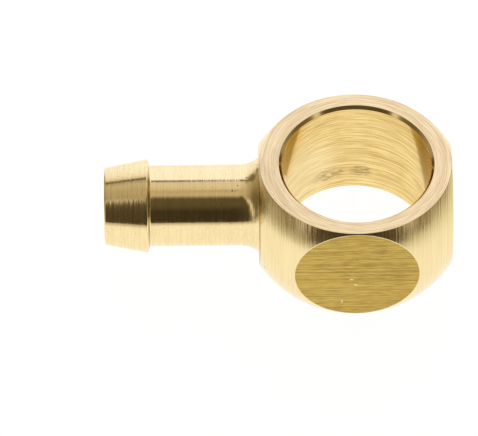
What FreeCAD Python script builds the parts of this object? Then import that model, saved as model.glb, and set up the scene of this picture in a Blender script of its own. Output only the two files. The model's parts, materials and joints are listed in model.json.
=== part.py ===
import FreeCAD, Part

import math
import os

from FreeCAD import Vector

# Banjo fitting: a ring that a hollow bolt clamps, with a barbed tail that a hose is pushed over.
# It is one piece of brass. A square bar is turned about X to a barrel-shaped head and a tail, the
# ring's two faces are milled down, and the flats of the bar are left on the front and the back.
# Millimetres. The origin is where the bolt's axis (Z) crosses the tail's axis (X); the tail
# points along -X and the bar's flats face -Y and +Y.

# Bolt's bore
BOLT_D = 14.0
BOLT_CLEARANCE = 0.1      # on the diameter
BORE_CHAMFER = 0.25       # at 45 degrees, at both mouths

# Ring
RING_HEIGHT = 11.6        # between the two sealing faces
WALL_AT_FLATS = 1.73      # from the bore to the bar's flats
WALL_AT_TAIL = 2.15       # from the bore to the end face that the tail leaves
WALL_AT_FAR_END = 1.95    # from the bore to the other end face

# Barrel that the head is turned to
BARREL_BULGE = 1.68       # how far the barrel stands out past the flats at its middle
END_RIM_INSET = 0.1       # how far the end faces' rims stay inside the sealing faces

# Tail
HOSE_BORE_D = 8.0
TAIL_LENGTH = 14.6        # from the head's end face to the tip
TAIL_WALL = 1.1           # round the passage, at the stem
STEM_SLACK = 0.3          # how much thinner than the hose's bore the stem is
ROOT_FILLET_R = 3.0       # between the stem and the head's end face
ROOT_FILLET_TURN = 39.0   # degrees that the fillet turns before it meets that face

# Barb
BARB_STRETCH = 0.88       # how much wider than the hose's bore the crest is
BARB_LENGTH = 4.0         # from the tip to the crest
BARB_TAPER = 11.2         # degrees, from the tail's axis
BARB_BACK = 0.3           # how far the back slopes down to the stem
TIP_EDGE_R = 0.2          # on the tip's outer edge
TIP_CHAMFER = 0.3         # at 45 degrees, inside the tip

# What follows from them
BORE_R = (BOLT_D + BOLT_CLEARANCE) / 2
HALF_HEIGHT = RING_HEIGHT / 2
HALF_FLATS = BORE_R + WALL_AT_FLATS
NEAR_END_X = -BORE_R - WALL_AT_TAIL
FAR_END_X = BORE_R + WALL_AT_FAR_END
BARREL_R = HALF_FLATS + BARREL_BULGE
END_R = HALF_HEIGHT - END_RIM_INSET
STEM_R = (HOSE_BORE_D - STEM_SLACK) / 2
PASSAGE_R = STEM_R - TAIL_WALL
CREST_R = (HOSE_BORE_D + BARB_STRETCH) / 2
TIP_X = NEAR_END_X - TAIL_LENGTH
CREST_X = TIP_X + BARB_LENGTH


def on_profile(x, radius):
    """A point of the profile that is turned about X."""
    return Vector(x, radius, 0)


def root_fillet():
    """The arc from the head's end face down to the stem, which it meets tangent.

    Returns its start on the face, a point midway and its end on the stem.
    """
    turn = math.radians(ROOT_FILLET_TURN)
    centre_x = NEAR_END_X - ROOT_FILLET_R * math.sin(turn)
    centre_r = STEM_R + ROOT_FILLET_R

    def on_arc(angle):
        return on_profile(
            centre_x + ROOT_FILLET_R * math.sin(angle),
            centre_r - ROOT_FILLET_R * math.cos(angle))

    return on_arc(turn), on_arc(turn / 2), on_arc(0)


def tip_edge():
    """The rounding between the barb's taper and the tip's flat face.

    Returns its start on the taper, a point midway and its end on the tip's face.
    """
    taper = math.radians(BARB_TAPER)
    corner = on_profile(TIP_X, CREST_R - BARB_LENGTH * math.tan(taper))
    setback = TIP_EDGE_R * math.tan((math.pi / 2 - taper) / 2)
    on_taper = corner + Vector(math.cos(taper), math.sin(taper), 0) * setback
    on_face = corner - Vector(0, setback, 0)
    centre = on_face + Vector(TIP_EDGE_R, 0, 0)
    outward = (corner - centre).normalize()
    return on_taper, centre + outward * TIP_EDGE_R, on_face


def turned_blank():
    """The head and the tail as they leave the lathe, before any milling or drilling."""
    far_axis = on_profile(FAR_END_X, 0)
    far_rim = on_profile(FAR_END_X, END_R)
    widest = on_profile((FAR_END_X + NEAR_END_X) / 2, BARREL_R)
    near_rim = on_profile(NEAR_END_X, END_R)
    fillet_top, fillet_middle, fillet_foot = root_fillet()
    barb_foot = on_profile(CREST_X + BARB_BACK, STEM_R)
    crest = on_profile(CREST_X, CREST_R)
    edge_top, edge_middle, edge_foot = tip_edge()
    tip_axis = on_profile(TIP_X, 0)

    profile = Part.Wire([
        Part.LineSegment(far_axis, far_rim).toShape(),
        Part.Arc(far_rim, widest, near_rim).toShape(),
        Part.LineSegment(near_rim, fillet_top).toShape(),
        Part.Arc(fillet_top, fillet_middle, fillet_foot).toShape(),
        Part.LineSegment(fillet_foot, barb_foot).toShape(),
        Part.LineSegment(barb_foot, crest).toShape(),
        Part.LineSegment(crest, edge_top).toShape(),
        Part.Arc(edge_top, edge_middle, edge_foot).toShape(),
        Part.LineSegment(edge_foot, tip_axis).toShape(),
        Part.LineSegment(tip_axis, far_axis).toShape(),
    ])
    return Part.Face(profile).revolve(Vector(0, 0, 0), Vector(1, 0, 0), 360)


def milled_bar():
    """What is left of the square bar once the ring's two faces are milled to height."""
    corner = Vector(TIP_X, -HALF_FLATS, -HALF_HEIGHT)
    return Part.makeBox(FAR_END_X - TIP_X, 2 * HALF_FLATS, RING_HEIGHT, corner)


def bolt_bore():
    """The space of the bolt's bore and of the chamfers at its two mouths."""
    up = Vector(0, 0, 1)
    bore = Part.makeCylinder(BORE_R, RING_HEIGHT, up * -HALF_HEIGHT)
    for mouth in (up * HALF_HEIGHT, up * -HALF_HEIGHT):
        bore = bore.fuse(Part.makeCone(BORE_R + BORE_CHAMFER, BORE_R, BORE_CHAMFER, mouth, -mouth))
    return bore


def hose_passage():
    """The space of the passage that is drilled from the tip into the bolt's bore."""
    tip = Vector(TIP_X, 0, 0)
    inwards = Vector(1, 0, 0)
    drilled = Part.makeCylinder(PASSAGE_R, -TIP_X, tip, inwards)
    return drilled.fuse(Part.makeCone(PASSAGE_R + TIP_CHAMFER, PASSAGE_R, TIP_CHAMFER, tip, inwards))


def banjo_body():
    """The whole fitting, in the order in which it is machined."""
    return turned_blank().common(milled_bar()).cut(bolt_bore()).cut(hose_passage()).Solids[0]


os.makedirs("parts", exist_ok=True)
banjo_body().exportStep("parts/banjo_body.step")
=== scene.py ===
"""A brass banjo fitting in a light tent, seen from above its front flat.

The fitting is one turned piece of brass, so it is one closed mesh here. Its skin is made patch by
patch, each patch with the finish that its own machining left: the barrel and the tail are turned
about X, the sealing faces are faced about Z, the bore is bored about Z and the flats are still the
drawn bar's. Lengths are in millimetres until a mesh is made, and the frame is the CAD model's.
"""

import json
import logging
import math
from dataclasses import dataclass, field
from enum import Enum
from typing import Callable, Mapping, Sequence, Union

import bpy
import numpy as np
from mathutils import Matrix, Vector
from mathutils.geometry import delaunay_2d_cdt

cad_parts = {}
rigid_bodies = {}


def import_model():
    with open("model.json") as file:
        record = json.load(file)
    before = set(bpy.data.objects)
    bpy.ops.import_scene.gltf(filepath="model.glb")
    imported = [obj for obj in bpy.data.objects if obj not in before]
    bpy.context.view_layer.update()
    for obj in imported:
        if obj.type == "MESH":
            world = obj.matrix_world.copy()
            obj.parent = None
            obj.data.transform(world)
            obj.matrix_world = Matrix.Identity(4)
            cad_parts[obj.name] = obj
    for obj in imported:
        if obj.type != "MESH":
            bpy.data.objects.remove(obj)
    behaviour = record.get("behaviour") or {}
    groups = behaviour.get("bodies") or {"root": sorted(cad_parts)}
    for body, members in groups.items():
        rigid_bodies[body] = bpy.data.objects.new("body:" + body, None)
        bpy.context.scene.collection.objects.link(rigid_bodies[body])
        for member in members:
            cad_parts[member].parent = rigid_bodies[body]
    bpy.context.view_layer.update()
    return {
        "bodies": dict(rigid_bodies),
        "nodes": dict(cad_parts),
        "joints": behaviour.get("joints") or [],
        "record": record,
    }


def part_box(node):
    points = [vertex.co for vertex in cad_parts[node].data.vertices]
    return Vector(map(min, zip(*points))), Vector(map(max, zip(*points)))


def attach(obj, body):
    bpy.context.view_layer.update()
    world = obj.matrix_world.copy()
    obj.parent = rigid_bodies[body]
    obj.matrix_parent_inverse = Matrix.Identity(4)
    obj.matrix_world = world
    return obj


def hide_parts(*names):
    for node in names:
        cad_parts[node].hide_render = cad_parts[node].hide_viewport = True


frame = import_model()

log = logging.getLogger("banjo_fitting")

MM = 0.001
NODE = "banjo_body"
BODY = "root"
MIX_COLOURS = (6, 7)      # the colour inputs of a Mix node
MIX_RESULT = 2            # and its colour output
Array = np.ndarray
Colour = tuple[float, float, float]
Pair = tuple[float, float]


class Finish(Enum):
    """The finishes that the machining leaves, each with a material of its own."""

    TURNED_HEAD = "turned_head"
    TURNED_TAIL = "turned_tail"
    SEALING_FACE = "sealing_face"
    BORED_WALL = "bored_wall"
    DRAWN_FLAT = "drawn_flat"
    PARTED_END = "parted_end"
    BROKEN_EDGE = "broken_edge"
    DRILLED_PASSAGE = "drilled_passage"


# Shader maths


@dataclass(frozen=True)
class Signal:
    """A socket of a shader tree that takes part in Python expressions."""

    tree: bpy.types.NodeTree
    socket: bpy.types.NodeSocket

    def _math(self, operation: str, *operands: "Operand") -> "Signal":
        """Adds one Math node.

        Args:
            operation: The node's operation.
            operands: What goes into its inputs, in order.

        Returns:
            The node's value.
        """
        node = self.tree.nodes.new("ShaderNodeMath")
        node.operation = operation
        for place, operand in enumerate(operands):
            if isinstance(operand, Signal):
                self.tree.links.new(operand.socket, node.inputs[place])
            else:
                node.inputs[place].default_value = operand
        return Signal(self.tree, node.outputs[0])

    def __add__(self, other: "Operand") -> "Signal":
        """The sum."""
        return self._math("ADD", self, other)

    def __sub__(self, other: "Operand") -> "Signal":
        """The difference."""
        return self._math("SUBTRACT", self, other)

    def __rsub__(self, other: "Operand") -> "Signal":
        """The difference, from a plain number."""
        return self._math("SUBTRACT", other, self)

    def __mul__(self, other: "Operand") -> "Signal":
        """The product."""
        return self._math("MULTIPLY", self, other)

    def __truediv__(self, other: "Operand") -> "Signal":
        """The quotient."""
        return self._math("DIVIDE", self, other)

    def __rtruediv__(self, other: "Operand") -> "Signal":
        """The quotient, of a plain number."""
        return self._math("DIVIDE", other, self)

    def __pow__(self, other: "Operand") -> "Signal":
        """The power."""
        return self._math("POWER", self, other)

    def __neg__(self) -> "Signal":
        """The opposite."""
        return self._math("MULTIPLY", self, -1.0)

    def __abs__(self) -> "Signal":
        """The size without its sign."""
        return self._math("ABSOLUTE", self)

    __radd__ = __add__
    __rmul__ = __mul__

    def root(self) -> "Signal":
        """The square root."""
        return self._math("SQRT", self)

    def turn_from(self, level: "Signal") -> "Signal":
        """The angle whose tangent is this over level, in radians."""
        return self._math("ARCTAN2", self, level)

    def at_most(self, limit: "Operand") -> "Signal":
        """The lesser of this and limit."""
        return self._math("MINIMUM", self, limit)

    def at_least(self, limit: "Operand") -> "Signal":
        """The greater of this and limit."""
        return self._math("MAXIMUM", self, limit)

    def step(self, start: float, end: float) -> "Signal":
        """A soft step from 0 at start to 1 at end, where end may be the lesser."""
        share = ((self - start) / (end - start)).at_least(0.0).at_most(1.0)
        return share * share * (3.0 - 2.0 * share)

    def hump(self, centre: float, half_width: float) -> "Signal":
        """1 at centre, falling softly to 0 at half_width on both sides."""
        return abs(self - centre).step(half_width, 0.0)


Operand = Union[Signal, float]


class Bench:
    """Adds nodes of any type to one node tree."""

    def __init__(self, tree: bpy.types.NodeTree) -> None:
        """Starts from an emptied tree."""
        self.tree = tree
        tree.nodes.clear()

    def node(
        self,
        kind: str,
        settings: Mapping[str, object] | None = None,
        inputs: Mapping[Union[str, int], object] | None = None,
    ) -> bpy.types.Node:
        """Adds a node, sets it up and then fills its sockets.

        Args:
            kind: The node's type.
            settings: Its properties. A list under "stops" holds a ramp's places and colours.
            inputs: Values, signals or sockets, by the input's name or place.

        Returns:
            The node.
        """
        made = self.tree.nodes.new(kind)
        for name, value in (settings or {}).items():
            if name == "stops":
                self._fill_ramp(made.color_ramp, value)
            else:
                setattr(made, name, value)
        for name, value in (inputs or {}).items():
            if isinstance(value, Signal):
                self.tree.links.new(value.socket, made.inputs[name])
            elif isinstance(value, bpy.types.NodeSocket):
                self.tree.links.new(value, made.inputs[name])
            else:
                made.inputs[name].default_value = value
        return made

    @staticmethod
    def _fill_ramp(ramp: bpy.types.ColorRamp, stops: Sequence[tuple[float, tuple]]) -> None:
        """Sets a ramp's stops, of which there are two or more, from the lowest place up."""
        while len(ramp.elements) > 1:
            ramp.elements.remove(ramp.elements[-1])
        ramp.elements[0].position = stops[0][0]
        ramp.elements[0].color = (*stops[0][1], 1.0)
        for place, colour in stops[1:]:
            ramp.elements.new(place).color = (*colour, 1.0)

    def signal(self, node: bpy.types.Node, output: Union[str, int] = 0) -> Signal:
        """One output of a node, for use in expressions."""
        return Signal(self.tree, node.outputs[output])

    def split(self, vector: bpy.types.NodeSocket) -> tuple[Signal, Signal, Signal]:
        """The three parts of a vector."""
        parts = self.node("ShaderNodeSeparateXYZ", inputs={0: vector})
        return self.signal(parts, 0), self.signal(parts, 1), self.signal(parts, 2)

    def join(self, x: Operand, y: Operand, z: Operand) -> bpy.types.NodeSocket:
        """A vector of three parts."""
        return self.node("ShaderNodeCombineXYZ", inputs={0: x, 1: y, 2: z}).outputs[0]

    def blend(self, share: Operand, first: object, second: object) -> bpy.types.NodeSocket:
        """A colour between two others.

        Args:
            share: 0 for the first and 1 for the second.
            first: A colour or a socket.
            second: A colour or a socket.

        Returns:
            The blended colour.
        """
        mix = self.node("ShaderNodeMix", {"data_type": "RGBA"}, {0: share})
        for place, colour in zip(MIX_COLOURS, (first, second)):
            if isinstance(colour, bpy.types.NodeSocket):
                self.tree.links.new(colour, mix.inputs[place])
            else:
                mix.inputs[place].default_value = (*colour, 1.0)
        return mix.outputs[MIX_RESULT]

    def noise(self, place: bpy.types.NodeSocket, scale: float, detail: float = 2.0) -> Signal:
        """Noise of about 0 to 1 at a place."""
        made = self.node(
            "ShaderNodeTexNoise", {"noise_dimensions": "3D"},
            {"Vector": place, "Scale": scale, "Detail": detail, "Roughness": 0.55})
        return self.signal(made, 0)


class Lay(Enum):
    """Which way the tool marks of a finish run."""

    AROUND_X = "rings about the tail's axis"
    AROUND_Z = "rings about the bolt's axis, side by side on a flat face"
    UP_THE_BORE = "rings about the bolt's axis, one above another"
    ALONG_X = "straight, along the bar"
    END_RINGS = "rings about the tail's axis, on a flat end"


@dataclass(frozen=True)
class Spot:
    """A nick, a scratch or a stain, or a patch of painted shade or painted highlight. Its place, its reach
    along each axis and its depth are in millimetres.

    A shade below 0 makes the place paler instead of darker. A broken one is split up into streaks.
    """

    place: tuple[float, float, float]
    reach: tuple[float, float, float]
    shade: float = 0.8
    depth: float = 0.0
    broken: bool = False


@dataclass(frozen=True)
class MachinedBrass:
    """Brass with the marks that one machining step leaves on it.

    The marks are noise that is squeezed across the lay and drawn out along it. Lengths are in
    millimetres, and the heights of the marks are far under their pitch. The double reflection shade is
    painted shade: the colour that a bored wall is darkened towards where it mirrors itself, for its
    darker double reflection. The edge tint is the colour of a glancing reflection.
    Pairs are the levels of noise, or the places, between which something sets in.
    """

    lay: Lay
    colour: Colour = (0.98, 0.80, 0.435)
    deep_colour: Colour = (0.66, 0.46, 0.21)
    # The pale colour serves real scratches and painted highlights; the colour below it serves real specks,
    # nicks and stains, and painted shade.
    pale: Colour = (1.0, 0.87, 0.54)
    grime_and_shade: Colour = (0.22, 0.13, 0.04)
    deep_share: float = 0.35
    roughness: float = 0.2
    roughness_swing: float = 0.06
    coarse_pitch: float = 0.30
    coarse_height: float = 0.004
    fine_pitch: float = 0.10
    fine_height: float = 0.001
    run: float = 9.0
    fine_run: float = 3.0
    speckle: float = 0.0
    double_reflection_shade: Colour | None = None
    edge_tint: Colour = (1.0, 1.0, 1.0)
    spots: tuple[Spot, ...] = ()
    seed: float = 0.0
    patch_scale: float = 0.22
    streak_levels: Pair = (0.38, 0.62)
    speck_scale: float = 5.5
    speck_levels: Pair = (0.67, 0.77)
    double_reflection_shade_share: float = 0.9
    double_reflection_shade_swing: float = 0.5
    spot_rim: float = 0.15
    stain_scale: Colour = (1.5, 1.5, 8.5)
    stain_levels: Pair = (0.40, 0.58)
    mirror_slope: float = 2.34
    mirror_rise: float = 5.8
    mirror_edge: Pair = (-0.5, 0.5)
    mirror_front: Pair = (-3.5, -1.0)

    def material(self, name: str) -> bpy.types.Material:
        """Builds the finish's material.

        Args:
            name: The material's name.

        Returns:
            The material, which reads nothing but Object coordinates.
        """
        made = bpy.data.materials.new(name)
        made.use_nodes = True
        bench = Bench(made.node_tree)
        place = bench.node("ShaderNodeTexCoord").outputs["Object"]
        scaled = bench.node("ShaderNodeVectorMath", {"operation": "SCALE"}, {0: place, "Scale": 1 / MM})
        x, y, z = bench.split(scaled.outputs[0])

        coarse = bench.noise(self._squeezed(bench, x, y, z, self.coarse_pitch, self.run), 1.0, 2.0)
        fine = bench.noise(self._squeezed(bench, x, y, z, self.fine_pitch, self.fine_run), 1.0, 2.0)
        patches = bench.noise(bench.join(x + self.seed, y, z), self.patch_scale, 3.0)

        streaks = (coarse * 0.5 + fine * 0.5).step(*self.streak_levels)
        share = (streaks * self.deep_share * (0.5 + patches)).at_most(1.0)
        height = coarse * (self.coarse_height / self.fine_height) + fine
        tint = bench.blend(share, self.colour, self.deep_colour)
        # Painted shade: where the bored wall mirrors itself, its colour is darkened for its darker double
        # reflection.
        if self.double_reflection_shade:
            grain = (self.double_reflection_shade_share + self.double_reflection_shade_swing * (coarse - 0.5)).at_most(1.0)
            tint = bench.blend(self._sees_itself(y, z) * grain, tint, self.double_reflection_shade)
        # Real specks, then spots: real nicks, scratches and stains, and patches of painted shade and painted
        # highlight, which darken or pale the tint.
        specks = bench.noise(bench.join(x, y, z), self.speck_scale, 1.0)
        dirt_and_shade = specks.step(*self.speck_levels) * self.speckle
        for spot in self.spots:
            near = self._nearness((x, y, z), spot)
            if spot.broken:
                near = near * self._broken(bench, x, y, z)
            height = height - near * (spot.depth / self.fine_height)
            dirt_and_shade = dirt_and_shade.at_least(near * max(spot.shade, 0.0))
            if spot.shade < 0:
                tint = bench.blend(near * -spot.shade, tint, self.pale)
        tint = bench.blend(dirt_and_shade, tint, self.grime_and_shade)
        swing = self.roughness_swing
        rough = self.roughness + (patches - 0.5) * swing + (0.5 - streaks) * swing
        bump = bench.node(
            "ShaderNodeBump", inputs={"Strength": 1.0, "Distance": self.fine_height * MM, "Height": height})
        shader = bench.node("ShaderNodeBsdfPrincipled", inputs={
            "Base Color": tint, "Metallic": 1.0, "Roughness": rough, "Normal": bump.outputs[0],
            "Specular Tint": (*self.edge_tint, 1.0)})
        bench.node("ShaderNodeOutputMaterial", inputs={"Surface": shader.outputs[0]})
        return made

    def _nearness(self, place: Sequence[Signal], spot: Spot) -> Signal:
        """1 at a spot's middle, falling softly to 0 at its reach."""
        ways = [(part - centre) * (1 / reach) for part, centre, reach in zip(place, spot.place, spot.reach)]
        return (ways[0] * ways[0] + ways[1] * ways[1] + ways[2] * ways[2]).step(1.0, self.spot_rim)

    def _broken(self, bench: Bench, x: Signal, y: Signal, z: Signal) -> Signal:
        """Breaks a stain up into short streaks across the height."""
        scaled = [part * scale for part, scale in zip((x, y, z), self.stain_scale)]
        return bench.noise(bench.join(*scaled), 1.0, 3.0).step(*self.stain_levels)

    def _sees_itself(self, y: Signal, z: Signal) -> Signal:
        """The mask of the painted double reflection shade: 1 where the bored wall mirrors the wall across
        from it, towards the front, and 0 elsewhere.
        """
        above = z + self.mirror_rise - y * self.mirror_slope
        return above.step(*self.mirror_edge) * y.step(*self.mirror_front)

    def _squeezed(
        self, bench: Bench, x: Signal, y: Signal, z: Signal, pitch: float, run: float,
    ) -> bpy.types.NodeSocket:
        """The place at which noise becomes marks of one pitch that run along the lay."""
        if self.lay is Lay.AROUND_X:
            across, around = x, (y, z)
        elif self.lay is Lay.AROUND_Z:
            across, around = (x * x + y * y).root(), (x, y)
        elif self.lay is Lay.UP_THE_BORE:
            across, around = z, (x, y)
        elif self.lay is Lay.END_RINGS:
            across, around = (y * y + z * z).root(), (y, z)
        else:
            across, around = z, (x, y)
        return bench.join(across * (1 / pitch) + self.seed, around[0] * (1 / run), around[1] * (1 / run))


FINISHES: Mapping[Finish, MachinedBrass] = {
    Finish.TURNED_HEAD: MachinedBrass(
        Lay.AROUND_X, roughness=0.165, coarse_pitch=0.17, coarse_height=0.023, fine_pitch=0.10,
        fine_height=0.012, deep_share=0.22, seed=3.0, spots=(
            # Painted shade: a dark band over the head's end face and its rim next to the tail, seen as a dark
            # line at the corner with the tail's fillet.
            Spot((-9.2, -2.5, 1.5), (0.13, 6.5, 6.5), 0.85),
            Spot((-8.7, -6.06, -2.05), (0.12, 0.3, 0.16), 0.6, 0.01))),
    Finish.TURNED_TAIL: MachinedBrass(
        Lay.AROUND_X, deep_share=0.25, roughness=0.115, coarse_pitch=0.24, coarse_height=0.011,
        fine_height=0.0055, run=5.0, fine_run=1.2, speckle=0.5, seed=11.0, spots=(
            # Painted shade: a dark line in the notch behind the barb's crest, for its dark double reflection.
            Spot((-19.57, -2.0, 1.5), (0.085, 6.5, 6.5), 0.85),
            # Painted reflection: a dark spot on the tail's root fillet, for a dark reflection there.
            Spot((-9.85, -0.15, 4.1), (0.50, 0.6, 0.6), 0.6),
            Spot((-10.34, -0.05, 3.85), (0.12, 0.12, 0.3), 0.9, 0.01),
            Spot((-11.20, -0.85, 3.75), (0.08, 0.10, 0.3), 0.8, 0.01),
            Spot((-11.72, -1.35, 3.60), (0.09, 0.14, 0.3), 0.8, 0.01),
            Spot((-16.05, -3.15, -2.2), (0.16, 0.3, 0.12), 0.8, 0.01))),
    Finish.SEALING_FACE: MachinedBrass(
        Lay.AROUND_Z, colour=(0.92, 0.72, 0.40), deep_colour=(0.58, 0.39, 0.20), roughness=0.15,
        coarse_pitch=0.17, coarse_height=0.007, fine_pitch=0.08, fine_height=0.003, run=6.0,
        fine_run=2.0, deep_share=0.7, seed=5.0),
    Finish.BORED_WALL: MachinedBrass(
        Lay.UP_THE_BORE, colour=(0.99, 0.765, 0.345), deep_colour=(0.68, 0.46, 0.14), deep_share=0.95,
        roughness=0.19, coarse_pitch=0.19, coarse_height=0.015, fine_pitch=0.10, fine_height=0.008,
        run=8.0, fine_run=2.0, double_reflection_shade=(0.40, 0.275, 0.035), edge_tint=(1.0, 0.92, 0.78), seed=7.0, spots=(
            Spot((0.75, 7.0, -3.3), (1.4, 2.0, 0.9), 0.64, 0.0, True),
            Spot((-2.3, 6.6, -3.35), (2.1, 2.0, 1.2), 0.52, 0.0, True),
            # Painted highlight: the lower left of the bore's wall is made paler, for its brighter reflection.
            Spot((-5.0, 5.0, -2.0), (4.5, 6.0, 5.5), -0.32),
            # Painted shade: the bore's wall is darkened at its left and right ends, the right far more, for
            # their darker reflections.
            Spot((-6.4, 2.9, 4.2), (1.6, 2.4, 4.0), 0.10),
            Spot((6.8, 2.0, 4.2), (1.6, 3.0, 5.0), 0.50))),
    Finish.DRAWN_FLAT: MachinedBrass(
        Lay.ALONG_X, colour=(0.69, 0.475, 0.115), deep_colour=(0.36, 0.24, 0.05), deep_share=0.95,
        roughness=0.34, coarse_pitch=0.10, coarse_height=0.008, fine_pitch=0.09, fine_height=0.007,
        run=14.0, fine_run=1.5, speckle=0.25, seed=2.0, spots=(
            Spot((-1.48, -8.78, -3.9), (0.07, 0.5, 0.32), -0.75),
            Spot((-0.60, -8.78, -0.7), (0.26, 0.5, 0.10), -0.7),
            Spot((-0.20, -8.78, -1.5), (0.24, 0.5, 0.10), -0.7),
            Spot((-0.10, -8.78, 2.2), (0.10, 0.5, 0.10), 0.6))),
    Finish.PARTED_END: MachinedBrass(
        Lay.END_RINGS, roughness=0.18, coarse_height=0.010, fine_height=0.003, seed=13.0),
    Finish.BROKEN_EDGE: MachinedBrass(
        Lay.UP_THE_BORE, roughness=0.1, coarse_height=0.001, fine_height=0.0005, seed=17.0),
    Finish.DRILLED_PASSAGE: MachinedBrass(Lay.AROUND_X, roughness=0.25, coarse_height=0.01, seed=19.0),
}


# The mesh


class Skin:
    """The vertices, faces and finishes of one closed mesh, gathered patch by patch.

    Patches share the vertices of the loops where they meet, so the mesh is closed from the start.
    Each vertex carries the true normal of the form there.
    """

    def __init__(self) -> None:
        """Starts with no vertex."""
        self.points: list[Array] = []
        self.normals: list[Array] = []
        self.wall: list[Array] = []
        self.faces: list[tuple[Array, Finish]] = []
        self.count = 0

    def add(self, points: Array, normals: Array, wall: Union[Array, float] = 0.0) -> Array:
        """Adds vertices.

        Args:
            points: Their places, one row each.
            normals: The form's outward normals there.
            wall: How far each may be moved by the boring tool's marks, from 0 to 1.

        Returns:
            Their numbers.
        """
        points = np.asarray(points, float).reshape(-1, 3)
        normals = np.broadcast_to(np.asarray(normals, float), points.shape)
        self.points.append(points)
        self.normals.append(normals / np.linalg.norm(normals, axis=1, keepdims=True))
        self.wall.append(np.broadcast_to(np.asarray(wall, float), (len(points),)).copy())
        self.count += len(points)
        return np.arange(self.count - len(points), self.count)

    def add_ring(self, first: Array, second: Array, finish: Finish) -> None:
        """Joins two closed loops of as many vertices with a ring of quads."""
        after_first, after_second = np.roll(first, -1), np.roll(second, -1)
        self.faces.append((np.stack([first, after_first, after_second, second], axis=1), finish))

    def add_rings(self, loops: Sequence[Array], finish: Finish) -> None:
        """Joins each loop to the next."""
        for first, second in zip(loops, loops[1:]):
            self.add_ring(first, second, finish)

    def add_cap(self, loop: Array, centre: Array, finish: Finish) -> None:
        """Closes a loop with triangles to one vertex at its centre."""
        hub = np.full(len(loop), centre[0])
        self.faces.append((np.stack([loop, np.roll(loop, -1), hub], axis=1), finish))

    def add_triangles(self, triangles: Array, finish: Finish) -> None:
        """Adds triangles by their vertices' numbers."""
        self.faces.append((triangles, finish))

    def mesh(self, name: str, materials: Mapping[Finish, bpy.types.Material]) -> bpy.types.Mesh:
        """Makes the mesh, in metres, with every face outwards.

        Args:
            name: The mesh's name.
            materials: The material of each finish.

        Returns:
            The mesh, with the true normals and the wall's share kept as attributes.
        """
        points = np.concatenate(self.points)
        normals = np.concatenate(self.normals)
        order = list(materials)
        rows: list[list[int]] = []
        slots: list[int] = []
        for faces, finish in self.faces:
            corner = points[faces]
            across = np.cross(corner[:, 1] - corner[:, 0], corner[:, 2] - corner[:, 0])
            if faces.shape[1] == 4:
                across = across + np.cross(corner[:, 2] - corner[:, 0], corner[:, 3] - corner[:, 0])
            inwards = np.einsum("ij,ij->i", across, normals[faces].sum(axis=1)) < 0
            faces = np.where(inwards[:, None], faces[:, ::-1], faces)
            rows.extend(faces.tolist())
            slots.extend([order.index(finish)] * len(faces))
        mesh = bpy.data.meshes.new(name)
        mesh.from_pydata((points * MM).tolist(), [], rows)
        for material in materials.values():
            mesh.materials.append(material)
        mesh.polygons.foreach_set("material_index", slots)
        mesh.polygons.foreach_set("use_smooth", [True] * len(rows))
        true_normal = mesh.attributes.new("true_normal", "FLOAT_VECTOR", "POINT")
        true_normal.data.foreach_set("vector", normals.ravel())
        wall = mesh.attributes.new("bored_wall", "FLOAT", "POINT")
        wall.data.foreach_set("value", np.concatenate(self.wall))
        mesh.update()
        return mesh


def circle_angles(count: int, start: float = 0.0) -> Array:
    """Evenly spaced angles of a full turn, in radians, the last one a step short of the first."""
    return start + np.arange(count) * (2 * math.pi / count)


def inside(points: Array, loop: Array) -> Array:
    """Which points lie inside a closed loop, both in the plane.

    Args:
        points: One row for each point.
        loop: The loop's corners, in order.

    Returns:
        One truth value for each point.
    """
    found = np.zeros(len(points), bool)
    ahead = np.roll(loop, -1, axis=0)
    for (x0, y0), (x1, y1) in zip(loop, ahead):
        if y0 == y1:
            continue
        spans = (points[:, 1] >= min(y0, y1)) & (points[:, 1] < max(y0, y1))
        crossing = x0 + (points[:, 1] - y0) * (x1 - x0) / (y1 - y0)
        found ^= spans & (points[:, 0] < crossing)
    return found


@dataclass
class FlatPatch:
    """A patch that is cut out of a plane of two coordinates and filled with triangles.

    The plane's points are mapped to the form afterwards, so the patch may be curved.
    """

    outline: Array
    outline_ids: Array
    holes: list[tuple[Array, Array]] = field(default_factory=list)

    def fill(self, grid: Array, keep_off: float, add_inner: Callable[[Array], Array]) -> Array:
        """Fills the patch.

        Args:
            grid: Points to use inside it, those outside or near its edges being dropped.
            keep_off: The least distance from an edge's corners to a grid point.
            add_inner: Adds the kept points to the skin and returns their numbers.

        Returns:
            The triangles, by the skin's vertex numbers.
        """
        loops = [self.outline, *[hole for hole, _ in self.holes]]
        ids = [self.outline_ids, *[hole_ids for _, hole_ids in self.holes]]
        border = np.concatenate(loops)
        kept = inside(grid, self.outline)
        for hole, _ in self.holes:
            kept &= ~inside(grid, hole)
        grid = grid[kept]
        near = np.array([np.min(np.sum((border - p) ** 2, axis=1)) for p in grid])
        grid = grid[near > keep_off ** 2]
        all_ids = np.concatenate([*ids, add_inner(grid)])
        edges: list[tuple[int, int]] = []
        start = 0
        for loop in loops:
            count = len(loop)
            edges += [(start + i, start + (i + 1) % count) for i in range(count)]
            start += count
        flat = np.concatenate([border, grid])
        _, _, faces, sources, _, _ = delaunay_2d_cdt([Vector(p) for p in flat], edges, [], 0, 1e-7)
        source = np.array([s[0] for s in sources])
        triangles = source[np.array(faces)]
        centres = flat[triangles].mean(axis=1)
        used = inside(centres, self.outline)
        for hole, _ in self.holes:
            used &= ~inside(centres, hole)
        return all_ids[triangles[used]]


# The fitting


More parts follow.
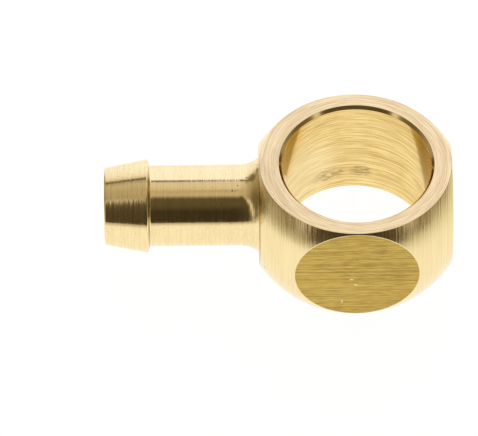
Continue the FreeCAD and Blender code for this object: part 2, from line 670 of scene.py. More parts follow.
@dataclass
class Barrel:
    """The barrel that the head is turned to: an arc that is revolved about X."""

    middle_radius: float
    end_radius: float
    near_x: float
    far_x: float

    def __post_init__(self) -> None:
        """Works out the arc: its radius and how far its centre lies past the axis."""
        rise = self.middle_radius - self.end_radius
        half_length = (self.far_x - self.near_x) / 2
        self.middle_x = (self.far_x + self.near_x) / 2
        self.arc_radius = (half_length ** 2 + rise ** 2) / (2 * rise)
        self.centre_drop = self.arc_radius - self.middle_radius

    def radius(self, x: Array) -> Array:
        """The barrel's radius at x."""
        return np.sqrt(self.arc_radius ** 2 - (x - self.middle_x) ** 2) - self.centre_drop

    def normal(self, points: Array) -> Array:
        """The outward normals at points on the barrel."""
        r = np.hypot(points[:, 1], points[:, 2])
        stretch = (r + self.centre_drop) / r
        return np.column_stack([points[:, 0] - self.middle_x, points[:, 1] * stretch, points[:, 2] * stretch])

    def meet(self, point_at: Callable[[Array], Array], reach: Array) -> Array:
        """Where rays from inside meet the barrel.

        Args:
            point_at: Gives the rays' points at given distances.
            reach: Distances that lie outside the barrel.

        Returns:
            The distances at which the rays meet it.
        """
        low, high = np.zeros_like(reach), reach.copy()
        for _ in range(50):
            middle = (low + high) / 2
            p = point_at(middle)
            outside = np.hypot(p[:, 1], p[:, 2]) > self.radius(p[:, 0])
            low, high = np.where(outside, low, middle), np.where(outside, middle, high)
        return point_at((low + high) / 2)


@dataclass
class BanjoFitting:
    """The whole fitting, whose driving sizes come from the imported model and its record."""

    bore_radius: float
    half_height: float
    half_flats: float
    far_x: float
    tip_x: float
    tail_length: float = 14.6
    bore_chamfer: float = 0.28
    barrel_bulge: float = 1.68
    end_rim_inset: float = 0.1
    stem_radius: float = 3.85
    tail_wall: float = 1.1
    root_fillet_radius: float = 3.0
    root_fillet_turn: float = math.radians(39.0)
    crest_radius: float = 4.44
    barb_length: float = 4.0
    barb_taper: float = math.radians(11.2)
    barb_back_slope: float = math.radians(76.0)
    crest_rounding: float = 0.185
    barb_foot_radius: float = 0.2
    tip_edge_radius: float = 0.2
    tip_chamfer: float = 0.3
    edge_break: float = 0.03
    least_edge_break: float = 0.012
    rim_samples: int = 480
    tail_samples: int = 192
    flat_samples: int = 240
    skin_spacing: float = 0.24
    mark_pitch: float = 0.46
    mark_depth: float = 0.016
    mark_fade: float = 0.45
    break_spread: float = 1.2
    face_shares: tuple[float, ...] = (0.2, 0.4, 0.6, 0.8)
    disc_shares: tuple[float, ...] = (0.85, 0.7, 0.55, 0.4, 0.25, 0.1)
    flat_spacing: float = 0.4
    side_seam_steps: int = 44
    bore_seam_steps: int = 180
    bore_spacing: Pair = (0.42, 0.06)
    passage_rings: int = 16

    def __post_init__(self) -> None:
        """Works out the barrel and starts the skin."""
        self.near_x = self.tip_x + self.tail_length
        self.barrel = Barrel(
            self.half_flats + self.barrel_bulge, self.half_height - self.end_rim_inset,
            self.near_x, self.far_x)
        self.skin = Skin()
        self.seam = math.pi / 4
        self.rim_angles = circle_angles(self.rim_samples, self.seam)
        self.tail_angles = circle_angles(self.tail_samples)

    @classmethod
    def from_frame(cls, packed: Mapping[str, object]) -> "BanjoFitting":
        """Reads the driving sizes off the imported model.

        Args:
            packed: What the frame's load call returned.

        Returns:
            The fitting, not yet built.
        """
        low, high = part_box(NODE)
        mounts = {m["name"]: m for m in packed["record"]["mounts"]}
        return cls(
            bore_radius=mounts["bolt_bore"]["dims"]["r_mm"],
            half_height=high.z / MM,
            half_flats=high.y / MM,
            far_x=high.x / MM,
            tip_x=low.x / MM)

    def break_at(self, x: Array) -> Array:
        """How far an edge is broken at x: less where the flats almost reach the sealing faces."""
        share = np.clip(np.abs(x) / self.break_spread, 0, 1) ** 2
        return self.least_edge_break + (self.edge_break - self.least_edge_break) * share

    def about_z(self, radius: Union[Array, float], z: Union[Array, float], angles: Array) -> Array:
        """Points at a radius and a height about the bolt's axis."""
        return np.column_stack([
            np.cos(angles) * radius, np.sin(angles) * radius, np.broadcast_to(z, angles.shape)])

    def about_x(self, x: Union[Array, float], radius: Union[Array, float]) -> Array:
        """Points at a radius about the tail's axis, one for each of the tail's angles."""
        return np.column_stack([
            np.broadcast_to(x, self.tail_angles.shape),
            np.cos(self.tail_angles) * radius, np.sin(self.tail_angles) * radius])

    def build(self) -> Skin:
        """Builds every patch of the skin.

        Returns:
            The closed skin.
        """
        rims = [self.ring_rim(side) for side in (1, -1)]
        flats = [self.flat(side) for side in (1, -1)]
        ends = [self.far_end(), self.near_end()]
        self.side_wall(rims, flats, ends)
        self.bore([self.ring_face(side, rim) for side, rim in zip((1, -1), rims)])
        return self.skin

    def side_point(self, angles: Array, z: Array) -> Array:
        """Where the barrel lies in a direction from the bolt's axis, at a height."""
        reach = np.full_like(angles, self.barrel.arc_radius - abs(self.barrel.middle_x) - 1e-6)
        return self.barrel.meet(lambda g: self.about_z(g, z, angles), reach)

    def ring_rim(self, side: int) -> dict[str, Array]:
        """The broken edge between one sealing face and the barrel.

        Args:
            side: 1 for the upper face and -1 for the lower one.

        Returns:
            The vertex numbers of its loop on the face and of its loop on the barrel, and the latter's places.
        """
        angles = self.rim_angles
        z = side * self.half_height
        corner = self.side_point(angles, np.full_like(angles, z))
        cut = self.break_at(corner[:, 0])
        inner = corner - self.about_z(cut, 0.0, angles)
        outer = self.side_point(angles, z - side * cut)
        up = np.array([0.0, 0.0, side])
        outer_normal = self.barrel.normal(outer) / self.barrel.arc_radius
        middle = (inner + 2 * corner + outer) / 4
        loops = [
            self.skin.add(inner, up),
            self.skin.add(middle, up + outer_normal),
            self.skin.add(outer, outer_normal)]
        self.skin.add_rings(loops, Finish.TURNED_HEAD)
        return {"face": loops[0], "wall": loops[2], "points": outer}

    def ring_face(self, side: int, rim: Mapping[str, Array]) -> Array:
        """One sealing face and the chamfer at its bore.

        Args:
            side: 1 for the upper face and -1 for the lower one.
            rim: The face's rim, from ring_rim.

        Returns:
            The vertex numbers of the chamfer's foot, where the bore's wall starts.
        """
        angles = self.rim_angles
        up = np.array([0.0, 0.0, side])
        level = side * self.half_height
        mouth = self.bore_radius + self.bore_chamfer
        inwards = -self.about_z(1.0, 0.0, angles)
        slope = inwards + up
        rim_points = np.concatenate(self.skin.points)[rim["face"]]
        lip_points = self.about_z(mouth + self.edge_break, level, angles)
        lip = self.skin.add(lip_points, up)
        rings = [rim["face"]]
        for share in self.face_shares:
            rings.append(self.skin.add(rim_points * (1 - share) + lip_points * share, up))
        self.skin.add_rings([*rings, lip], Finish.SEALING_FACE)
        cut = self.edge_break * math.sqrt(0.5)
        top = self.skin.add(self.about_z(mouth - cut, level - side * cut, angles), slope)
        foot_z = level - side * self.bore_chamfer
        foot = self.skin.add(self.about_z(self.bore_radius + cut, foot_z + side * cut, angles), slope)
        wall = self.skin.add(self.about_z(self.bore_radius, foot_z - side * self.edge_break, angles), inwards)
        self.skin.add_rings([lip, top, foot, wall], Finish.BROKEN_EDGE)
        return wall

    def flat(self, side: int) -> dict[str, Array]:
        """One flat of the bar, with its broken rim.

        Args:
            side: 1 for the back and -1 for the front.

        Returns:
            The vertex numbers and places of its rim's loop on the barrel.
        """
        angles = circle_angles(self.flat_samples)
        out = np.array([0.0, side, 0.0])

        def spread(radius: Union[Array, float], y: Union[Array, float]) -> Array:
            return np.column_stack([
                np.cos(angles) * radius, np.broadcast_to(y, angles.shape), np.sin(angles) * radius])

        reach = np.full_like(angles, self.far_x)
        level = side * self.half_flats
        corner = self.barrel.meet(lambda g: spread(g, level), reach)
        near_face = np.abs(corner[:, 2]) > self.half_height / 2
        cut = np.where(near_face, self.break_at(corner[:, 0]), self.edge_break)
        inner = corner - spread(cut, 0.0)
        outer = self.barrel.meet(lambda g: spread(g, level - side * cut), reach)
        outer_normal = self.barrel.normal(outer) / self.barrel.arc_radius
        face = self.skin.add(inner, out)
        middle = self.skin.add((inner + 2 * corner + outer) / 4, out + outer_normal)
        rim = self.skin.add(outer, outer_normal)
        self.skin.add_rings([face, middle, rim], Finish.TURNED_HEAD)

        def add_inner(grid: Array) -> Array:
            return self.skin.add(np.column_stack([grid[:, 0], np.full(len(grid), level), grid[:, 1]]), out)

        patch = FlatPatch(inner[:, [0, 2]], face)
        spacing = self.flat_spacing
        grid = self.grid(
            -self.half_flats, self.half_flats, -self.half_height, self.half_height, spacing, spacing)
        self.skin.add_triangles(patch.fill(grid, spacing / 2, add_inner), Finish.DRAWN_FLAT)
        return {"wall": rim, "points": outer}

    def end_rim(self, side: int) -> tuple[list[Array], Array]:
        """The broken edge between the barrel and one end face.

        Args:
            side: 1 for the far end and -1 for the tail's end.

        Returns:
            The edge's loops from the barrel to the face, and the places of the first.
        """
        level = self.far_x if side > 0 else self.near_x
        radius = self.barrel.end_radius
        outer_x = level - side * self.edge_break
        outer = self.about_x(outer_x, self.barrel.radius(np.full_like(self.tail_angles, outer_x)))
        outer_normal = self.barrel.normal(outer) / self.barrel.arc_radius
        inner = self.about_x(level, radius - self.edge_break)
        out = np.array([side, 0.0, 0.0])
        middle = (inner + 2 * self.about_x(level, radius) + outer) / 4
        loops = [
            self.skin.add(outer, outer_normal),
            self.skin.add(middle, outer_normal + out),
            self.skin.add(inner, out)]
        self.skin.add_rings(loops, Finish.TURNED_HEAD)
        return loops, outer

    def far_end(self) -> dict[str, Array]:
        """The head's far end face, which is a plain disc.

        Returns:
            The vertex numbers and places of its rim's loop on the barrel.
        """
        loops, outer = self.end_rim(1)
        out = np.array([1.0, 0.0, 0.0])
        rings = [
            self.skin.add(self.about_x(self.far_x, self.barrel.end_radius * share), out)
            for share in self.disc_shares]
        self.skin.add_rings([loops[-1], *rings], Finish.PARTED_END)
        centre = self.skin.add(np.array([[self.far_x, 0.0, 0.0]]), out)
        self.skin.add_cap(rings[-1], centre, Finish.PARTED_END)
        return {"wall": loops[0], "points": outer}

    def tail_profile(self) -> list[tuple[float, float, float, float, Finish]]:
        """The tail's outline from the head's face to the inside of the tip.

        Returns:
            Stations of x, radius, the normal's two parts, and the finish of the ring that ends there.
        """
        stations: list[tuple[float, float, float, float, Finish]] = []
        turned = Finish.TURNED_TAIL
        cut = self.edge_break
        past_face = 0.01

        def straight(start: Pair, end: Pair, steps: int, finish: Finish) -> None:
            """A straight stretch, kept a cut's width off both its ends."""
            along = np.subtract(end, start)
            length = float(np.hypot(*along))
            along = along / length
            normal = (along[1], -along[0])
            for share in np.linspace(cut / length, 1 - cut / length, steps):
                x, r = np.add(start, along * share * length)
                stations.append((x, r, *normal, finish))

        def arc(centre: Pair, radius: float, start: float, end: float, steps: int, hollow: bool) -> None:
            """A round stretch. Angles are from the direction away from the axis, towards +X."""
            sign = -1 if hollow else 1
            for angle in np.linspace(start, end, steps):
                way = (math.sin(angle), math.cos(angle))
                stations.append((
                    centre[0] + way[0] * radius, centre[1] + way[1] * radius,
                    sign * way[0], sign * way[1], turned))

        face_x = self.near_x
        turn = self.root_fillet_turn
        hollow_centre = (
            face_x - self.root_fillet_radius * math.sin(turn), self.stem_radius + self.root_fillet_radius)
        fillet_top = hollow_centre[1] - self.root_fillet_radius * math.cos(turn)
        crest_x = self.tip_x + self.barb_length
        tip_radius = self.crest_radius - self.barb_length * math.tan(self.barb_taper)
        setback = self.tip_edge_radius * math.tan((math.pi / 2 - self.barb_taper) / 2)
        edge_centre = (self.tip_x + self.tip_edge_radius, tip_radius - setback)
        on_taper = (
            self.tip_x + math.cos(self.barb_taper) * setback,
            tip_radius + math.sin(self.barb_taper) * setback)
        passage = self.stem_radius - self.tail_wall
        chamfer_foot = (self.tip_x, passage + self.tip_chamfer)
        slope = self.barb_back_slope
        crest_centre = (crest_x, self.crest_radius - self.crest_rounding / math.cos(self.barb_taper))
        foot_centre_r = self.stem_radius + self.barb_foot_radius
        drop = crest_centre[1] + self.crest_rounding * math.cos(slope) - (
            foot_centre_r - self.barb_foot_radius * math.cos(slope))
        back_top = crest_x + self.crest_rounding * math.sin(slope)
        back_foot = back_top + drop / math.tan(slope)
        foot_centre = (back_foot + self.barb_foot_radius * math.sin(slope), foot_centre_r)
        taper_end = (
            crest_centre[0] - self.crest_rounding * math.sin(self.barb_taper),
            crest_centre[1] + self.crest_rounding * math.cos(self.barb_taper))

        straight((face_x, self.barrel.end_radius), (face_x, fillet_top), 5, Finish.TURNED_HEAD)
        arc(hollow_centre, self.root_fillet_radius, math.pi - turn + past_face, math.pi, 14, True)
        straight((hollow_centre[0], self.stem_radius), (foot_centre[0], self.stem_radius), 24, turned)
        arc(foot_centre, self.barb_foot_radius, math.pi, math.pi + slope, 12, True)
        arc(crest_centre, self.crest_rounding, slope, -self.barb_taper, 16, False)
        straight(taper_end, on_taper, 12, turned)
        arc(edge_centre, self.tip_edge_radius, -self.barb_taper, -math.pi / 2, 6, False)
        straight((self.tip_x, edge_centre[1]), chamfer_foot, 3, turned)
        straight(chamfer_foot, (self.tip_x + self.tip_chamfer, passage), 3, turned)
        return stations

    def near_end(self) -> dict[str, Array]:
        """The head's end face on the tail's side, the tail and the passage in it.

        Returns:
            The vertex numbers and places of the face's rim on the barrel, and under "hole" and
            "hole_points" those of the passage's mouth in the bore's wall.
        """
        loops, outer = self.end_rim(-1)
        last = loops[-1]
        cosines, sines = np.cos(self.tail_angles), np.sin(self.tail_angles)
        for x, radius, normal_x, normal_r, finish in self.tail_profile():
            normals = np.column_stack([np.full(len(cosines), normal_x), cosines * normal_r, sines * normal_r])
            ring = self.skin.add(self.about_x(x, radius), normals)
            self.skin.add_ring(last, ring, finish)
            last = ring

        passage = self.stem_radius - self.tail_wall
        start_x = self.tip_x + self.tip_chamfer + self.edge_break
        inwards = -self.about_x(0.0, 1.0)
        mouth_x = -np.sqrt(self.bore_radius ** 2 - (cosines * passage) ** 2) - self.edge_break
        for share in np.linspace(0.0, 1.0, self.passage_rings):
            ring = self.skin.add(self.about_x(start_x * (1 - share) + mouth_x * share, passage), inwards)
            self.skin.add_ring(last, ring, Finish.DRILLED_PASSAGE)
            last = ring
        wide = passage + self.edge_break
        hole_points = self.about_x(-np.sqrt(self.bore_radius ** 2 - (cosines * wide) ** 2), wide)
        hole = self.skin.add(hole_points, hole_points * np.array([-1.0, -1.0, 0.0]))
        self.skin.add_ring(last, hole, Finish.DRILLED_PASSAGE)
        return {"wall": loops[0], "points": outer, "hole": hole, "hole_points": hole_points}

    def grid(self, low_u: float, high_u: float, low_v: float, high_v: float, du: float, dv: float) -> Array:
        """The inner points of an even grid over a rectangle."""
        u = np.linspace(low_u, high_u, max(3, round((high_u - low_u) / du)))[1:-1]
        v = np.linspace(low_v, high_v, max(3, round((high_v - low_v) / dv)))[1:-1]
        return np.stack(np.meshgrid(u, v), axis=-1).reshape(-1, 2)

    def unroll(self, points: Array, radius: float) -> Array:
        """Places on a wall about the bolt's axis, laid out flat from the seam on."""
        angles = (np.arctan2(points[:, 1], points[:, 0]) - self.seam) % (2 * math.pi)
        return np.column_stack([angles * radius, points[:, 2]])

    def unrolled_wall(
        self, lower: tuple[Array, Array], upper: tuple[Array, Array], radius: float, seam_steps: int,
        surface: Callable[[Array], tuple[Array, Array, Union[Array, float]]],
    ) -> FlatPatch:
        """The outline of a wall about the bolt's axis, cut open at the seam.

        Args:
            lower: The lower loop's vertex numbers and heights.
            upper: The same of the upper loop.
            radius: What an angle is multiplied by when the wall is laid out flat.
            seam_steps: How many stretches the seam is divided into.
            surface: Gives the place, the normal and the wall's share for points of the layout.

        Returns:
            The patch, with no hole yet.
        """
        turn = 2 * math.pi * radius
        along = (self.rim_angles - self.seam) * radius
        heights = np.linspace(lower[1][0], upper[1][0], seam_steps + 1)[1:-1]
        seam_ids = self.skin.add(*surface(np.column_stack([np.zeros_like(heights), heights])))
        outline = np.concatenate([
            np.column_stack([along, lower[1]]), [[turn, lower[1][0]]],
            np.column_stack([np.full_like(heights, turn), heights]), [[turn, upper[1][0]]],
            np.column_stack([along, upper[1]])[::-1],
            np.column_stack([np.zeros_like(heights), heights])[::-1]])
        ids = np.concatenate([
            lower[0], lower[0][:1], seam_ids, upper[0][:1], upper[0][::-1], seam_ids[::-1]])
        return FlatPatch(outline, ids)

    def side_wall(
        self, rims: Sequence[Mapping[str, Array]], flats: Sequence[Mapping[str, Array]],
        ends: Sequence[Mapping[str, Array]],
    ) -> None:
        """The barrel's own surface, between the sealing faces and round the flats and the ends."""
        radius = self.far_x

        def surface(layout: Array) -> tuple[Array, Array, float]:
            points = self.side_point(layout[:, 0] / radius + self.seam, layout[:, 1])
            return points, self.barrel.normal(points), 0.0

        upper, lower = rims
        patch = self.unrolled_wall(
            (lower["wall"], lower["points"][:, 2]), (upper["wall"], upper["points"][:, 2]),
            radius, self.side_seam_steps, surface)
        patch.holes = [(self.unroll(hole["points"], radius), hole["wall"]) for hole in (*flats, *ends)]
        self.tail_hole = ends[1]
        spacing = self.skin_spacing
        grid = self.grid(0, 2 * math.pi * radius, -self.half_height, self.half_height, spacing, spacing)
        triangles = patch.fill(grid, spacing * 0.5, lambda kept: self.skin.add(*surface(kept)))
        self.skin.add_triangles(triangles, Finish.TURNED_HEAD)

    def bore(self, feet: Sequence[Array]) -> None:
        """The bore's wall, with the mouth of the passage in it."""
        radius = self.bore_radius
        level = self.half_height - self.bore_chamfer - self.edge_break
        fade = self.mark_fade
        around, up = self.bore_spacing
        hole_points = self.tail_hole["hole_points"]

        def surface(layout: Array) -> tuple[Array, Array, Array]:
            angles = layout[:, 0] / radius + self.seam
            points = self.about_z(radius, layout[:, 1], angles)
            from_mouth = np.hypot(points[:, 1], points[:, 2]) - (self.stem_radius - self.tail_wall)
            from_mouth = np.where(points[:, 0] < 0, from_mouth, fade)
            share = np.clip(np.minimum(level - np.abs(layout[:, 1]), from_mouth) / fade, 0, 1)
            return points, -self.about_z(1.0, 0.0, angles), share

        heights = np.full(self.rim_samples, level)
        patch = self.unrolled_wall(
            (feet[1], -heights), (feet[0], heights), radius, self.bore_seam_steps, surface)
        patch.holes = [(self.unroll(hole_points, radius), self.tail_hole["hole"])]
        grid = self.grid(0, 2 * math.pi * radius, -level, level, around, up)
        triangles = patch.fill(grid, up / 2, lambda kept: self.skin.add(*surface(kept)))
        self.skin.add_triangles(triangles, Finish.BORED_WALL)


@dataclass
class BoringMarks:
    """The ridges that the boring tool leaves up the bore, cut into the mesh with Geometry Nodes.

    They wander up and down and fade in and out. Noise scales are per metre about the bore, and per
    mark up it.
    """

    pitch: float
    depth: float
    seed: int = 4
    wander: float = 1.5
    wander_scale: Pair = (190.0, 0.5)
    fading_scale: Pair = (240.0, 0.9)
    fading_levels: Pair = (0.3, 0.7)
    fading_seed: float = 31.0

    def tree(self) -> bpy.types.NodeTree:
        """Builds the node tree.

        Returns:
            The tree, with named inputs for its sizes.
        """
        tree = bpy.data.node_groups.new("boring_marks", "GeometryNodeTree")
        face = tree.interface
        face.new_socket(name="Geometry", in_out="INPUT", socket_type="NodeSocketGeometry")
        for name in ("Mark pitch", "Mark depth"):
            face.new_socket(name=name, in_out="INPUT", socket_type="NodeSocketFloat")
        face.new_socket(name="Seed", in_out="INPUT", socket_type="NodeSocketInt")
        face.new_socket(name="Bored brass", in_out="INPUT", socket_type="NodeSocketMaterial")
        face.new_socket(name="Geometry", in_out="OUTPUT", socket_type="NodeSocketGeometry")
        bench = Bench(tree)
        given = bench.node("NodeGroupInput")
        pitch, depth, seed = (bench.signal(given, name) for name in ("Mark pitch", "Mark depth", "Seed"))
        x, y, z = bench.split(bench.node("GeometryNodeInputPosition").outputs[0])
        turn = y.turn_from(x) * (0.5 / math.pi)
        thread = z / pitch + turn
        about, climb = self.wander_scale
        wander = bench.noise(bench.join(x * about, y * about, z / pitch * climb + seed), 1.0, 2.0)
        phase = thread + wander * self.wander
        saw = phase - bench.signal(bench.node("ShaderNodeMath", {"operation": "FLOOR"}, {0: phase}))
        scallop = 1.0 - (2.0 * saw - 1.0) ** 2.0
        about, climb = self.fading_scale
        place = bench.join(x * about, y * about, z / pitch * climb + seed + self.fading_seed)
        strength = bench.noise(place, 1.0, 2.0).step(*self.fading_levels)
        wall = bench.node("GeometryNodeInputNamedAttribute", {"data_type": "FLOAT"}, {"Name": "bored_wall"})
        share = bench.signal(wall)
        outward = bench.join(x, y, 0.0)
        direction = bench.node("ShaderNodeVectorMath", {"operation": "NORMALIZE"}, {0: outward})
        cut = scallop * strength * share * depth
        offset = bench.node(
            "ShaderNodeVectorMath", {"operation": "SCALE"}, {0: direction.outputs[0], "Scale": cut})
        moved = bench.node("GeometryNodeSetPosition", inputs={
            "Geometry": given.outputs["Geometry"], "Offset": offset.outputs[0]})
        real = bench.node("GeometryNodeRealizeInstances", inputs={"Geometry": moved.outputs[0]})
        on_wall = bench.node("FunctionNodeCompare", {"data_type": "FLOAT", "operation": "GREATER_THAN"}, {
            0: share, 1: 0.0})
        painted = bench.node("GeometryNodeSetMaterial", inputs={
            "Geometry": real.outputs[0], "Selection": on_wall.outputs[0],
            "Material": given.outputs["Bored brass"]})
        bench.node("NodeGroupOutput", inputs={"Geometry": painted.outputs[0]})
        return tree

    def cut(self, mesh: bpy.types.Mesh, material: bpy.types.Material) -> bpy.types.Mesh:
        """Cuts the marks.

        Args:
            mesh: The skin's mesh.
            material: The bored wall's material.

        Returns:
            A plain mesh with the marks in it.
        """
        blank = bpy.data.objects.new("bored_blank", mesh)
        bpy.context.scene.collection.objects.link(blank)
        modifier = blank.modifiers.new("boring_marks", "NODES")
        modifier.node_group = self.tree()
        values = {
            "Mark pitch": self.pitch * MM, "Mark depth": self.depth * MM, "Seed": self.seed,
            "Bored brass": material}
        for item in modifier.node_group.interface.items_tree:
            if item.in_out == "INPUT" and item.name in values:
                modifier[item.identifier] = values[item.name]
        evaluated = blank.evaluated_get(bpy.context.evaluated_depsgraph_get())
        plain = bpy.data.meshes.new_from_object(evaluated)
        blank.modifiers.remove(modifier)
        bpy.data.objects.remove(blank)
        return plain


def keep_true_normals(mesh: bpy.types.Mesh) -> None:
    """Shades a mesh by its form's true normals, and its bored wall by the marks cut into it."""
    count = len(mesh.vertices)
    true_normals = np.zeros(count * 3, np.float32)
    mesh.attributes["true_normal"].data.foreach_get("vector", true_normals)
    wall = np.zeros(count, np.float32)
    mesh.attributes["bored_wall"].data.foreach_get("value", wall)
    own = np.zeros(count * 3, np.float32)
    mesh.vertex_normals.foreach_get("vector", own)
    marked = (wall > 0)[:, None]
    normals = np.where(marked, own.reshape(-1, 3), true_normals.reshape(-1, 3))
    mesh.attributes.remove(mesh.attributes["true_normal"])
    mesh.attributes.remove(mesh.attributes["bored_wall"])
    mesh.normals_split_custom_set_from_vertices(normals.tolist())


# The studio


@dataclass(frozen=True)
class LightTent:
    """A dome of plain light round the fitting, whose brightness changes only with direction.

    The front, where the camera stands, is dark, and so are the two sides. A pale post leans between
    them on each side, and fades towards its top and its foot. A low dark doorway with a glint beside
    it stands further back, and a pale skirting runs along the sides' feet. The back is bright up to
    a seam, which only its left half has, and a dull cloth with a slit at its middle hangs overhead.

    Angles are in degrees: aside from the front, the same to the left and right, or up from the
    level. A pair is where a thing starts and where it is full, or its middle and its half width.
    """

    radius: float = 0.13
    walls: tuple[Pair, ...] = (
        (0.0, 0.03), (16.0, 0.045), (24.0, 0.05), (34.0, 0.055), (44.0, 0.08), (50.0, 0.17),
        (54.0, 0.66), (59.0, 0.74), (62.0, 0.44), (65.0, 0.20), (70.0, 0.13), (88.0, 0.13),
        (107.0, 0.25), (122.0, 0.32), (133.0, 0.30), (138.0, 0.42), (143.0, 0.82), (150.0, 0.98),
        (160.0, 1.09), (180.0, 1.12))
    overhead: tuple[Pair, ...] = (
        (0.0, 0.56), (60.0, 0.46), (95.0, 0.47), (125.0, 0.58), (155.0, 0.68), (180.0, 0.72))
    front_edge: Pair = (66.0, 78.0)
    side_edge: Pair = (30.0, 68.0)
    back_edge: Pair = (58.0, 62.0)
    side_begins: Pair = (32.0, 66.0)
    back_begins: Pair = (120.0, 138.0)
    ceiling: float = 1.6
    lean: float = 0.22
    lean_top: float = 35.0
    lean_spread: Pair = (54.0, 40.0)
    post: Pair = (54.0, 26.0)
    post_top: Pair = (42.0, 62.0)
    post_top_share: float = 0.75
    post_foot: Pair = (14.0, 3.0)
    post_foot_share: float = 0.45
    post_level: float = 0.04
    haze_aside: Pair = (46.0, 28.0)
    haze_rise: Pair = (30.0, 52.0)
    haze_level: float = 0.085
    doorway_near: Pair = (113.0, 119.0)
    doorway_far: Pair = (142.0, 136.0)
    doorway_top: Pair = (11.0, 7.0)
    doorway_share: float = 0.9
    doorway_level: float = 0.05
    glint_aside: Pair = (111.0, 5.0)
    glint_rise: Pair = (11.0, 4.5)
    glint_share: float = 0.8
    glint_level: float = 0.7
    skirting_aside: Pair = (80.0, 26.0)
    skirting_rise: Pair = (14.0, 5.0)
    skirting_share: float = 0.55
    skirting_level: float = 0.55
    horizon: Pair = (0.8, -1.5)
    back_seam: Pair = (57.7, 5.5)
    back_seam_left: Pair = (-0.05, -0.09)
    top_slit: Pair = (89.6, 3.7)
    top_slit_share: float = 0.9
    seam_level: float = 0.03

    @staticmethod
    def warm(level: float) -> Colour:
        """The colour of one brightness: the duller, the warmer, and past white a little blue."""
        coolness = 0.36 + 0.72 * level ** 0.9 + 0.22 * (1 - level) ** 6
        return level + 0.3 * level * (1 - level), level, level * coolness

    def _round_the_tent(
        self, bench: Bench, angle: Signal, levels: Sequence[Pair],
    ) -> bpy.types.NodeSocket:
        """The colour at an angle from the front, from brightnesses at angles up to 180 degrees."""
        stops = [
            (place / 180, tuple(part / self.ceiling for part in self.warm(level))) for place, level in levels]
        ramp = bench.node("ShaderNodeValToRGB", {"stops": stops}, {0: angle / 180})
        scaled = bench.node(
            "ShaderNodeVectorMath", {"operation": "SCALE"}, {0: ramp.outputs[0], "Scale": self.ceiling})
        return scaled.outputs[0]

    def build(self) -> bpy.types.Object:
        """Builds the dome, which only the object and the floor see.

        Returns:
            The dome.
        """
        material = bpy.data.materials.new("light_tent")
        material.use_nodes = True
        bench = Bench(material.node_tree)
        spot = bench.node("ShaderNodeTexCoord").outputs["Object"]
        direction = bench.node("ShaderNodeVectorMath", {"operation": "NORMALIZE"}, {0: spot})
        x, y, z = bench.split(direction.outputs[0])
        degrees = 180 / math.pi
        aside = abs(x).turn_from(-y) * degrees
        rise = z.turn_from((x * x + y * y).root()) * degrees
        over_back = z.turn_from(y) * degrees
        below_lean = (self.lean_top - rise).at_least(0.0).at_most(self.lean_top)
        leaning = aside + below_lean * self.lean * aside.hump(*self.lean_spread)
        walls = self._round_the_tent(bench, leaning, self.walls)
        overhead = self._round_the_tent(bench, aside, self.overhead)

        to_side, to_back = aside.step(*self.side_begins), aside.step(*self.back_begins)
        top_fades = rise.step(*self.post_top) * self.post_top_share
        foot_fades = rise.step(*self.post_foot) * self.post_foot_share
        doorway = aside.step(*self.doorway_near) * aside.step(*self.doorway_far)
        skirting = aside.hump(*self.skirting_aside) * rise.step(*self.skirting_rise) * self.skirting_share
        below = rise.step(*self.horizon) * (1.0 - to_back)
        for share, level in (
                (aside.hump(*self.post) * top_fades.at_least(foot_fades), self.post_level),
                (aside.step(*self.haze_aside) * rise.step(*self.haze_rise), self.haze_level),
                (doorway * rise.step(*self.doorway_top) * self.doorway_share, self.doorway_level),
                (aside.hump(*self.glint_aside) * rise.hump(*self.glint_rise) * self.glint_share,
                 self.glint_level),
                (skirting.at_least(below), self.skirting_level)):
            walls = bench.blend(share, walls, self.warm(level))

        edges = []
        for front, side, back in zip(self.front_edge, self.side_edge, self.back_edge):
            edges.append(front + to_side * (side - front) + to_back * (back - side))
        rise = rise + to_back * (over_back - rise)
        climb = ((rise - edges[0]) / (edges[1] - edges[0])).step(0.0, 1.0)
        room = bench.blend(climb, walls, overhead)
        back_seam = rise.hump(*self.back_seam) * to_back * x.step(*self.back_seam_left)
        seams = back_seam + rise.hump(*self.top_slit) * self.top_slit_share
        room = bench.blend(seams, room, self.warm(self.seam_level))
        glow = bench.node("ShaderNodeEmission", inputs={"Color": room, "Strength": 1.0})
        bench.node("ShaderNodeOutputMaterial", inputs={"Surface": glow.outputs[0]})
        material.cycles.emission_sampling = "NONE"

        bpy.ops.mesh.primitive_uv_sphere_add(segments=48, ring_count=24, radius=self.radius)
        dome = bpy.context.object
        dome.name = "light_tent"
        dome.data.materials.append(material)
        dome.visible_camera = False
        dome.visible_shadow = False
        return dome


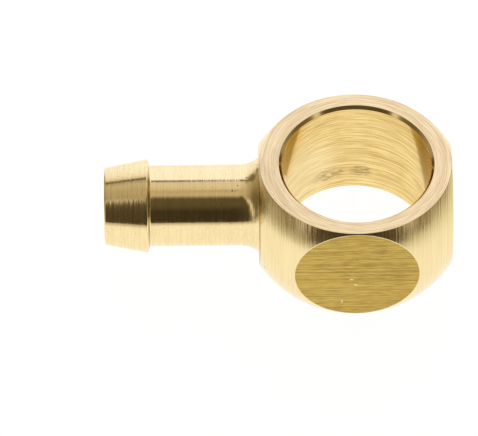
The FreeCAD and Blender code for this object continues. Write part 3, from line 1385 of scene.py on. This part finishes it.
@dataclass(frozen=True)
class Floor:
    """The white table top, which shows a soft shadow.

    Past the photograph's frame it gets duller and warmer, by millimetres, and to the left sooner.
    """

    level: float
    front: float = -0.15
    back: float = 0.35
    half_width: float = 0.35
    white_front: float = -0.026
    white_left: float = -0.034
    white_right: float = 0.013
    left_gloom: float = 3.0
    own_glow: float = 0.975
    paint: float = 0.10
    warmth: float = 0.4
    fall_off: tuple[Pair, ...] = (
        (0.0, 1.0), (12.0, 0.97), (23.0, 0.88), (45.0, 0.71), (80.0, 0.59), (130.0, 0.47), (230.0, 0.20))

    def build(self) -> bpy.types.Object:
        """Builds the floor.

        Returns:
            The floor.
        """
        material = bpy.data.materials.new("white_floor")
        material.use_nodes = True
        bench = Bench(material.node_tree)
        x, y, _ = bench.split(bench.node("ShaderNodeTexCoord").outputs["Object"])
        past_front = (self.white_front - y).at_least(0.0)
        past_side = (x - self.white_right).at_least((self.white_left - x) * self.left_gloom).at_least(0.0)
        past = (past_front * past_front + past_side * past_side).root() / MM
        reach = self.fall_off[-1][0]
        stops = [
            (place / reach, (level, level, level * (1 - self.warmth + self.warmth * level)))
            for place, level in self.fall_off]
        colour = bench.node("ShaderNodeValToRGB", {"stops": stops}, {0: past / reach}).outputs[0]
        shader = bench.node("ShaderNodeBsdfPrincipled", inputs={
            "Base Color": (self.paint, self.paint, self.paint, 1.0), "Roughness": 1.0,
            "Specular IOR Level": 0.0, "Emission Color": colour, "Emission Strength": self.own_glow})
        bench.node("ShaderNodeOutputMaterial", inputs={"Surface": shader.outputs[0]})
        material.cycles.emission_sampling = "NONE"

        mesh = bpy.data.meshes.new("floor")
        corners = [
            (-self.half_width, self.front, self.level), (self.half_width, self.front, self.level),
            (self.half_width, self.back, self.level), (-self.half_width, self.back, self.level)]
        mesh.from_pydata(corners, [], [(0, 1, 2, 3)])
        mesh.materials.append(material)
        floor = bpy.data.objects.new("floor", mesh)
        bpy.context.scene.collection.objects.link(floor)
        return floor


@dataclass(frozen=True)
class PhotoCamera:
    """The photograph's camera. Pixels are those of its own frame, and turns are in degrees."""

    width: int = 478
    height: int = 436
    focal_pixels: float = 5016.4
    distance: float = 0.47556
    azimuth: float = -0.685
    elevation: float = 49.47
    roll: float = 0.129
    origin_pixel: Pair = (355.615, 203.578)
    sensor: float = 36.0
    near_clip: float = 0.01

    def build(self) -> bpy.types.Object:
        """Builds the camera so that the row's origin lands on its pixel.

        Returns:
            The camera, made the scene's own.
        """
        az, el, roll = (math.radians(a) for a in (self.azimuth, self.elevation, self.roll))
        back = Vector((math.sin(az) * math.cos(el), -math.cos(az) * math.cos(el), math.sin(el)))
        level = Vector((math.cos(az), math.sin(az), 0.0))
        down = (-back).cross(level)
        right = level * math.cos(roll) + down * math.sin(roll)
        down = down * math.cos(roll) - level * math.sin(roll)
        aside = (self.origin_pixel[0] - self.width / 2) / self.focal_pixels * self.distance
        below = (self.origin_pixel[1] - self.height / 2) / self.focal_pixels * self.distance
        place = back * self.distance - right * aside - down * below
        camera = bpy.data.objects.new("camera", bpy.data.cameras.new("camera"))
        bpy.context.scene.collection.objects.link(camera)
        camera.matrix_world = Matrix((
            (right.x, -down.x, back.x, place.x),
            (right.y, -down.y, back.y, place.y),
            (right.z, -down.z, back.z, place.z),
            (0.0, 0.0, 0.0, 1.0)))
        camera.data.sensor_fit = "HORIZONTAL"
        camera.data.sensor_width = self.sensor
        camera.data.lens = self.focal_pixels / self.width * self.sensor
        camera.data.clip_start = self.near_clip
        bpy.context.scene.camera = camera
        return camera


def white_world() -> None:
    """A plain white world, which is what the camera sees past the floor."""
    world = bpy.data.worlds.new("white_room")
    world.use_nodes = True
    bench = Bench(world.node_tree)
    plain = bench.node("ShaderNodeBackground", inputs={"Color": (1.0, 1.0, 1.0, 1.0), "Strength": 1.0})
    bench.node("ShaderNodeOutputWorld", inputs={"Surface": plain.outputs[0]})
    bpy.context.scene.world = world


def main() -> None:
    """Builds the fitting and its studio."""
    logging.basicConfig(level=logging.INFO, format="%(name)s: %(message)s")
    bpy.context.scene.view_settings.view_transform = "Standard"
    materials = {finish: brass.material(finish.value) for finish, brass in FINISHES.items()}

    fitting = BanjoFitting.from_frame(frame)
    skin = fitting.build().mesh("banjo_skin", materials)
    marks = BoringMarks(fitting.mark_pitch, fitting.mark_depth)
    mesh = marks.cut(skin, materials[Finish.BORED_WALL])
    keep_true_normals(mesh)
    piece = bpy.data.objects.new("banjo_fitting", mesh)
    bpy.context.scene.collection.objects.link(piece)
    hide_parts(NODE)
    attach(piece, BODY)
    log.info("%s: %d vertices, %d faces", piece.name, len(mesh.vertices), len(mesh.polygons))

    white_world()
    LightTent().build()
    Floor(level=-fitting.half_height * MM).build()
    camera = PhotoCamera().build()
    log.info("camera: %.1f mm lens", camera.data.lens)


if __name__ == "__main__":
    main()
